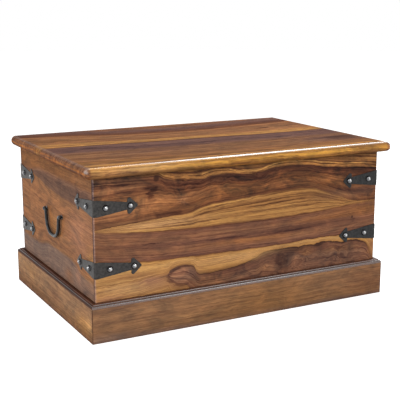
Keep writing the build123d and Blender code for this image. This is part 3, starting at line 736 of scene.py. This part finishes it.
# --- The plinth and its moulding ---
plinth_colours = [(0.0, smoke_brown), (0.014, olive_brown), (0.05, plinth_brown), (0.09, plinth_brown)]
plinth_patches = [
    ((0.05, 0.04, 0.16, 0.05), brown_gold, 0.6),
    ((0.40, 0.04, 0.1, 0.06), red_brown, 0.5),
    ((-0.38, 0.083, 0.06, 0.006), grey_brown, 0.7),
    ((-0.40, 0.01, 0.08, 0.012), smoke_brown, 0.7),
]
plinth_darkening = [(plinth_corners, dark_brown), (plinth_foot, dark_brown)]
long_plinth_wood = wood(
    "long_plinth_wood", "xzy", plinth_front, 8.9, plinth_colours, lines=0.25, patches=plinth_patches,
    touches=plinth_darkening,
)
short_colours = [(0.0, umber), (0.014, olive_brown), (0.05, drab_brown), (0.09, drab_brown)]
short_patches = [
    ((-0.24, 0.03, 0.05, 0.03), gold, 0.5),
    ((-0.272, 0.045, 0.012, 0.016), light_gold, 0.6),
    ((-0.02, 0.05, 0.05, 0.02), umber, 0.6),
    ((0.18, 0.06, 0.06, 0.02), gold, 0.3),
]
short_plinth_wood = wood(
    "short_plinth_wood", "yzx", plinth_left, 9.9, short_colours, lines=0.25, clouds=0.6,
    patches=short_patches, touches=plinth_darkening,
)
# The moulding's dark stain, with painted shade in its quirks and at its top against the case, and lighter
# red-brown bands on the bead and along the fillet's edge as painted highlights.
moulding_stain_shade_and_sheen = [
    (0.0884, ink_brown), (0.0896, dark_brown), (0.0912, red_brown), (0.0932, ink_brown),
    (0.0945, ink_brown), (0.0955, dark_brown), (0.098, dark_brown), (0.0994, red_brown),
    (0.1002, ink_brown),
]
long_moulding_wood = wood(
    "long_moulding_wood", "xzy", plinth_front, 1.9, moulding_stain_shade_and_sheen, lines=0.2, coat=0.7, wave=0.0,
)
short_moulding_wood = wood(
    "short_moulding_wood", "yzx", plinth_left, 2.9, moulding_stain_shade_and_sheen, lines=0.2, coat=moulding_gloss,
    wave=0.0,
)

# --- The back ---
back_layers = [
    (0.100, [(-0.425, 0.104), (-0.20, 0.112), (0.0, 0.100), (0.20, 0.108), (0.425, 0.118)]),
    (0.150, [(-0.425, 0.158), (-0.28, 0.168), (-0.12, 0.150), (0.05, 0.128), (0.20, 0.140),
             (0.425, 0.163)]),
    (0.187, [(-0.425, 0.187), (0.425, 0.187)]),
    (0.215, [(-0.425, 0.222), (-0.20, 0.205), (0.05, 0.212), (0.25, 0.234), (0.425, 0.226)]),
    (0.270, [(-0.425, 0.270), (0.425, 0.270)]),
    (0.300, [(-0.425, 0.288), (-0.20, 0.283), (0.05, 0.290), (0.30, 0.300), (0.425, 0.318)]),
    (0.360, [(-0.425, 0.300), (-0.25, 0.330), (-0.05, 0.372), (0.08, 0.384), (0.20, 0.372),
             (0.35, 0.340), (0.425, 0.330)]),
    (0.395, [(-0.425, 0.392), (-0.10, 0.398), (0.10, 0.403), (0.425, 0.388)]),
]
back_colours = [
    (0.060, tan_brown), (0.100, orange_brown), (0.104, dark_brown), (0.125, purple_brown),
    (0.146, orange_brown), (0.150, red_brown), (0.156, gold), (0.175, pale_gold), (0.1865, brown_gold),
    (0.1875, purple_brown), (0.200, red_brown), (0.213, orange_brown), (0.218, dark_brown),
    (0.240, purple_brown), (0.262, umber), (0.2695, orange_brown), (0.2705, brown_gold), (0.285, gold),
    (0.299, brown_gold), (0.303, red_brown), (0.318, orange_brown), (0.328, purple_brown),
    (0.340, orange_brown), (0.352, purple_brown), (0.358, dark_brown), (0.363, gold), (0.378, pale_gold),
    (0.390, brown_gold), (0.396, red_brown), (0.410, purple_brown),
]
back_knots = [(0.262, 0.238, 0.012, 0.006), (-0.154, 0.352, 0.010, 0.006)]
back_patches = [
    ((0.08, 0.345, 0.09, 0.012), orange_brown, 0.7),
    ((-0.30, 0.235, 0.09, 0.014), orange_brown, 0.6),
    ((0.18, 0.116, 0.10, 0.010), orange_brown, 0.6),
    ((-0.12, 0.125, 0.06, 0.012), dark_brown, 0.5),
    ((-0.33, 0.365, 0.07, 0.014), orange_brown, 0.5),
]
back_streaks = [
    (0.05, 0.334, 0.10, 0.0016), (-0.08, 0.345, 0.09, 0.0014), (0.18, 0.312, 0.10, 0.0014),
    (-0.20, 0.229, 0.12, 0.0025), (0.10, 0.205, 0.09, 0.002), (0.28, 0.284, 0.11, 0.0014),
    (-0.25, 0.171, 0.10, 0.0014), (0.10, 0.166, 0.08, 0.0012),
]
back_wood = wood(
    "back_wood", "xzy", case_back, 21.3, back_colours, back_layers, clouds=0.6, knots=back_knots,
    patches=back_patches, streaks=back_streaks, joints=end_joints,
    touches=[(case_ends, end_grain), (painted_corner_highlight, corner_highlight_pale)],
)

# --- The right end ---
right_layers = [
    (0.145, [(-0.30, 0.155), (-0.15, 0.145), (0.0, 0.152), (0.12, 0.168), (0.30, 0.162)]),
    (0.255, [(-0.30, 0.275), (-0.12, 0.262), (0.05, 0.242), (0.18, 0.230), (0.30, 0.236)]),
    (0.335, [(-0.30, 0.325), (-0.10, 0.345), (0.10, 0.352), (0.30, 0.332)]),
]
right_colours = [
    (0.080, smoke_brown), (0.138, smoke_brown), (0.145, tan_brown), (0.152, orange_brown),
    (0.200, rose_brown), (0.245, orange_brown), (0.255, purple_brown), (0.262, tan_brown),
    (0.300, orange_brown), (0.331, tan_brown), (0.336, plum_brown), (0.362, grey_brown), (0.372, umber),
    (0.410, brown_gold),
]
right_patches = [
    ((0.18, 0.20, 0.08, 0.03), rose_brown, 0.7),
    ((-0.18, 0.22, 0.07, 0.02), gold, 0.3),
    ((0.05, 0.29, 0.10, 0.02), rose_brown, 0.5),
]
right_wood = wood(
    "right_end_wood", "yzx", case_right, 31.3, right_colours, right_layers, lines=0.3, clouds=0.6,
    patches=right_patches, joints=end_joints,
)

# --- The floor, the battens and the bearers ---
floor_layers = [
    (-0.11, [(-0.42, -0.14), (-0.1, -0.10), (0.2, -0.09), (0.42, -0.12)]),
    (0.07, [(-0.42, 0.09), (-0.1, 0.05), (0.2, 0.08), (0.42, 0.05)]),
]
floor_colours = [
    (-0.30, tan_brown), (-0.12, orange_brown), (-0.10, purple_brown), (0.06, umber), (0.08, brown_gold),
    (0.12, tan_brown), (0.30, orange_brown),
]
floor_wood = wood("floor_wood", "xyz", 0.05, 41.0, floor_colours, floor_layers, lines=0.3, coat=0.03)
batten_colours = [(-0.35, umber), (-0.1, tan_brown), (0.1, umber), (0.35, tan_brown)]
batten_wood = wood("batten_wood", "yxz", 0.4, 47.0, batten_colours, lines=0.3, coat=0.03)


# --- Iron and steel on the chest ---
def metal(name, colour, metallic, roughness, spread=0.5, grain=140, bump_depth=0.0001, gloss=0.5):
    """Iron or steel with a fine uneven surface.

    spread: how far the mottling goes lighter and darker
    grain: how fine the surface is
    gloss: how much it mirrors where it isn't metallic
    """
    graph = Graph(bpy.data.materials.new(name))
    place = graph.place()
    clouds = graph.even_noise(place, grain, 3, 0.6)
    specks = graph.even_noise(place, grain * 6, 2, 0.6)
    dark = tuple(c * (1 - spread) for c in colour)
    light = tuple(c * (1 + spread) for c in colour)
    tint = graph.mix(clouds.share(0.35, 0.65), dark, light)
    rough = roughness + (specks - 0.5) * 0.25
    relief = clouds + specks * 0.3
    return graph.shade(tint, rough, relief, bump_depth, {"Metallic": metallic, "Specular IOR Level": gloss})


def nail_steel():
    """Nails with a painted highlight on their crowns, set towards the side that faces up, and painted shade
    darkening their rims.
    """
    graph = Graph(bpy.data.materials.new("nail_steel"))
    place = graph.place()
    height = outward(place)
    scratches = graph.even_noise(place, 260, 2, 0.6)
    # bright is 0 at the rims, which are darkened as painted shade.
    bright = (height + (scratches - 0.5) * 0.004).ease(0.0036, 0.0084)
    facing = graph.split(graph.field(graph.node("NewGeometry"), "Normal"))
    # A painted highlight: paler crowns, shifted towards the upward-facing side.
    crown_highlight = (height + facing["z"] * 0.002).ease(0.0076, 0.0084)
    tint = graph.mix(bright, (0.03, 0.03, 0.032), (0.17, 0.17, 0.175))
    tint = graph.mix(crown_highlight, tint, (0.66, 0.66, 0.66))
    rough = 0.10 + scratches * 0.08
    return graph.shade(tint, rough, scratches, 0.00005, {"Metallic": 1})


iron = metal("black_iron", (0.027, 0.0245, 0.023), 0.1, 0.5, gloss=0.30)
# A darker copy of the black iron for the straps at the right corners: painted shade.
shaded_iron = metal("shaded_iron", (0.017, 0.017, 0.017), 0.1, 0.5, gloss=0.22)
rod_iron = metal("rod_iron", (0.008, 0.009, 0.010), 0.1, 0.32, spread=0.4, gloss=0.3)
worn_iron = metal("worn_iron", (0.10, 0.10, 0.105), 0.8, 0.3, grain=200)
zinc = metal("zinc_steel", (0.27, 0.27, 0.26), 1.0, 0.42, spread=0.15, grain=160, bump_depth=0.00004)


# --- Finish of each CAD node ---
def dress(material, *names):
    """Gives CAD nodes their finish."""
    for name in names:
        for slot in nodes[name].material_slots:
            slot.material = material


dress(front_wood, "front_board_top", "front_board_middle", "front_board_bottom")
dress(back_wood, "back_board_top", "back_board_middle", "back_board_bottom")
dress(left_wood, "left_end_board_top", "left_end_board_bottom")
dress(right_wood, "right_end_board_top", "right_end_board_bottom")
dress(lid_wood, "lid_board_front", "lid_board_front_middle", "lid_board_back_middle", "lid_board_back")
dress(long_plinth_wood, "plinth_front", "plinth_back")
dress(short_plinth_wood, "plinth_left", "plinth_right")
dress(long_moulding_wood, "moulding_front", "moulding_back")
dress(short_moulding_wood, "moulding_left", "moulding_right")
dress(floor_wood, "floor_board_front", "floor_board_middle", "floor_board_back", "floor_ledgers_long")
dress(batten_wood, "lid_batten_left", "lid_batten_middle", "lid_batten_right", "floor_ledgers_short",
      "floor_bearers")
dress(zinc, *(name for name in nodes if name.startswith(("hinge_", "stay_", "eye_bolt_", "batten_screws"))))


# --- Forged ironwork ---
def cloud_texture(name, size):
    """Soft lumps of about one size, in metres."""
    texture = bpy.data.textures.new(name, "CLOUDS")
    texture.noise_scale = size
    texture.noise_depth = 1
    return texture


def forged(node, material, dents, voxel=None):
    """Replaces a CAD node by a hand-worked copy.

    dents are (texture, depth) pairs. Where a voxel size is given, the edges are softened on that grid.
    """
    piece = bpy.data.objects.new(node + "_forged", nodes[node].data.copy())
    bpy.context.scene.collection.objects.link(piece)
    if voxel:
        remesh = piece.modifiers.new("remesh", "REMESH")
        remesh.mode = "VOXEL"
        remesh.voxel_size = voxel
        soften = piece.modifiers.new("soften", "SMOOTH")
        soften.iterations = 3
    for texture, depth in dents:
        displace = piece.modifiers.new(texture.name, "DISPLACE")
        displace.texture = texture
        displace.texture_coords = "LOCAL"
        displace.strength = depth
        displace.mid_level = 0.6
    mesh = bpy.data.meshes.new_from_object(piece.evaluated_get(bpy.context.evaluated_depsgraph_get()))
    piece.modifiers.clear()
    piece.data = mesh
    mesh.shade_smooth()
    mesh.materials.clear()
    mesh.materials.append(material)
    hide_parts(node)
    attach(piece, nodes[node]["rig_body"])


hammer_marks = cloud_texture("hammer_marks", hammer_mark_size)
hammer_pits = cloud_texture("hammer_pits", hammer_pit_size)
strap_dents = [(hammer_marks, strap_mark_depth), (hammer_pits, strap_pit_depth)]
for node in nodes:
    if node.startswith("strap_") and node != "strap_nails":
        # The straps at the right corners get the darker iron, a painted shade.
        finish = shaded_iron if node.endswith("right") else iron
        forged(node, finish, strap_dents, strap_voxel)
for node, finish in (("bail_left", rod_iron), ("bail_right", rod_iron), ("eye_bolts", worn_iron)):
    forged(node, finish, [(hammer_marks, rod_mark_depth)], rod_voxel)
forged("strap_nails", nail_steel(), [(hammer_pits, nail_pit_depth)])


# --- Stage ---
def shown_white(graph):
    """1 for what the camera, a reflection or glass shows, 0 for the light that falls on things."""
    path = graph.node("LightPath")
    seen = graph.field(path, "Is Camera Ray") + graph.field(path, "Is Glossy Ray")
    return (seen + graph.field(path, "Is Transmission Ray")).at_most(1)


def white_world():
    """A sky that shows as white and gives an even light."""
    world = bpy.data.worlds.new("studio")
    bpy.context.scene.world = world
    graph = Graph(world)
    strength = graph.spread(shown_white(graph), 0, 1, sky_level, 1)
    sky = graph.node("Background", {"Color": (1, 1, 1, 1), "Strength": strength})
    output = graph.node("OutputWorld")
    graph.tree.links.new(sky.outputs[0], output.inputs[0])


def pale_floor():
    """A white floor that keeps the chest's shadow."""
    bpy.ops.mesh.primitive_circle_add(vertices=96, radius=floor_radius, fill_type="NGON")
    floor = bpy.context.object
    floor.name = "floor"
    graph = Graph(bpy.data.materials.new("pale_floor"))
    lit = graph.node("BsdfDiffuse", {"Color": (floor_grey, floor_grey, floor_grey, 1)})
    lift = graph.node("Emission", {"Color": (1, 1, 1, 1), "Strength": shown_white(graph) * floor_lift})
    total = graph.node("AddShader")
    graph.tree.links.new(lit.outputs[0], total.inputs[0])
    graph.tree.links.new(lift.outputs[0], total.inputs[1])
    output = graph.node("OutputMaterial")
    graph.tree.links.new(total.outputs[0], output.inputs[0])
    floor.data.materials.append(graph.owner)


def soft_light(name, place, size, power):
    """A rectangular soft light that faces the chest."""
    light = bpy.data.lights.new(name, "AREA")
    light.shape = "RECTANGLE"
    light.size, light.size_y = size
    light.energy = power
    holder = bpy.data.objects.new(name, light)
    bpy.context.scene.collection.objects.link(holder)
    holder.location = place
    aim = light_aim - Vector(place)
    holder.rotation_euler = aim.to_track_quat("-Z", "Y").to_euler()


def three_quarter_camera():
    """The camera, which sees the front, the left end and the top."""
    camera = bpy.data.cameras.new("camera")
    camera.lens = camera_lens
    camera.sensor_width = camera_sensor
    holder = bpy.data.objects.new("camera", camera)
    bpy.context.scene.collection.objects.link(holder)
    turn = Matrix.Rotation(-camera_heading, 4, "Z") @ Matrix.Rotation(math.pi / 2 + camera_tilt, 4, "X")
    holder.matrix_world = Matrix.Translation(camera_place) @ turn
    bpy.context.scene.camera = holder


white_world()
pale_floor()
three_quarter_camera()
soft_light("front_right_light", place=(1.3, -2.1, 1.9), size=(1.2, 0.8), power=15)
soft_light("front_left_light", place=(-1.1, -2.5, 1.6), size=(1.0, 0.8), power=31)
soft_light("left_light", place=(-2.8, 0.5, 1.3), size=(1.0, 0.8), power=28)
soft_light("back_light", place=(1.4, 1.2, 2.3), size=(1.5, 1.8), power=50)

bpy.context.scene.view_settings.view_transform = "Standard"
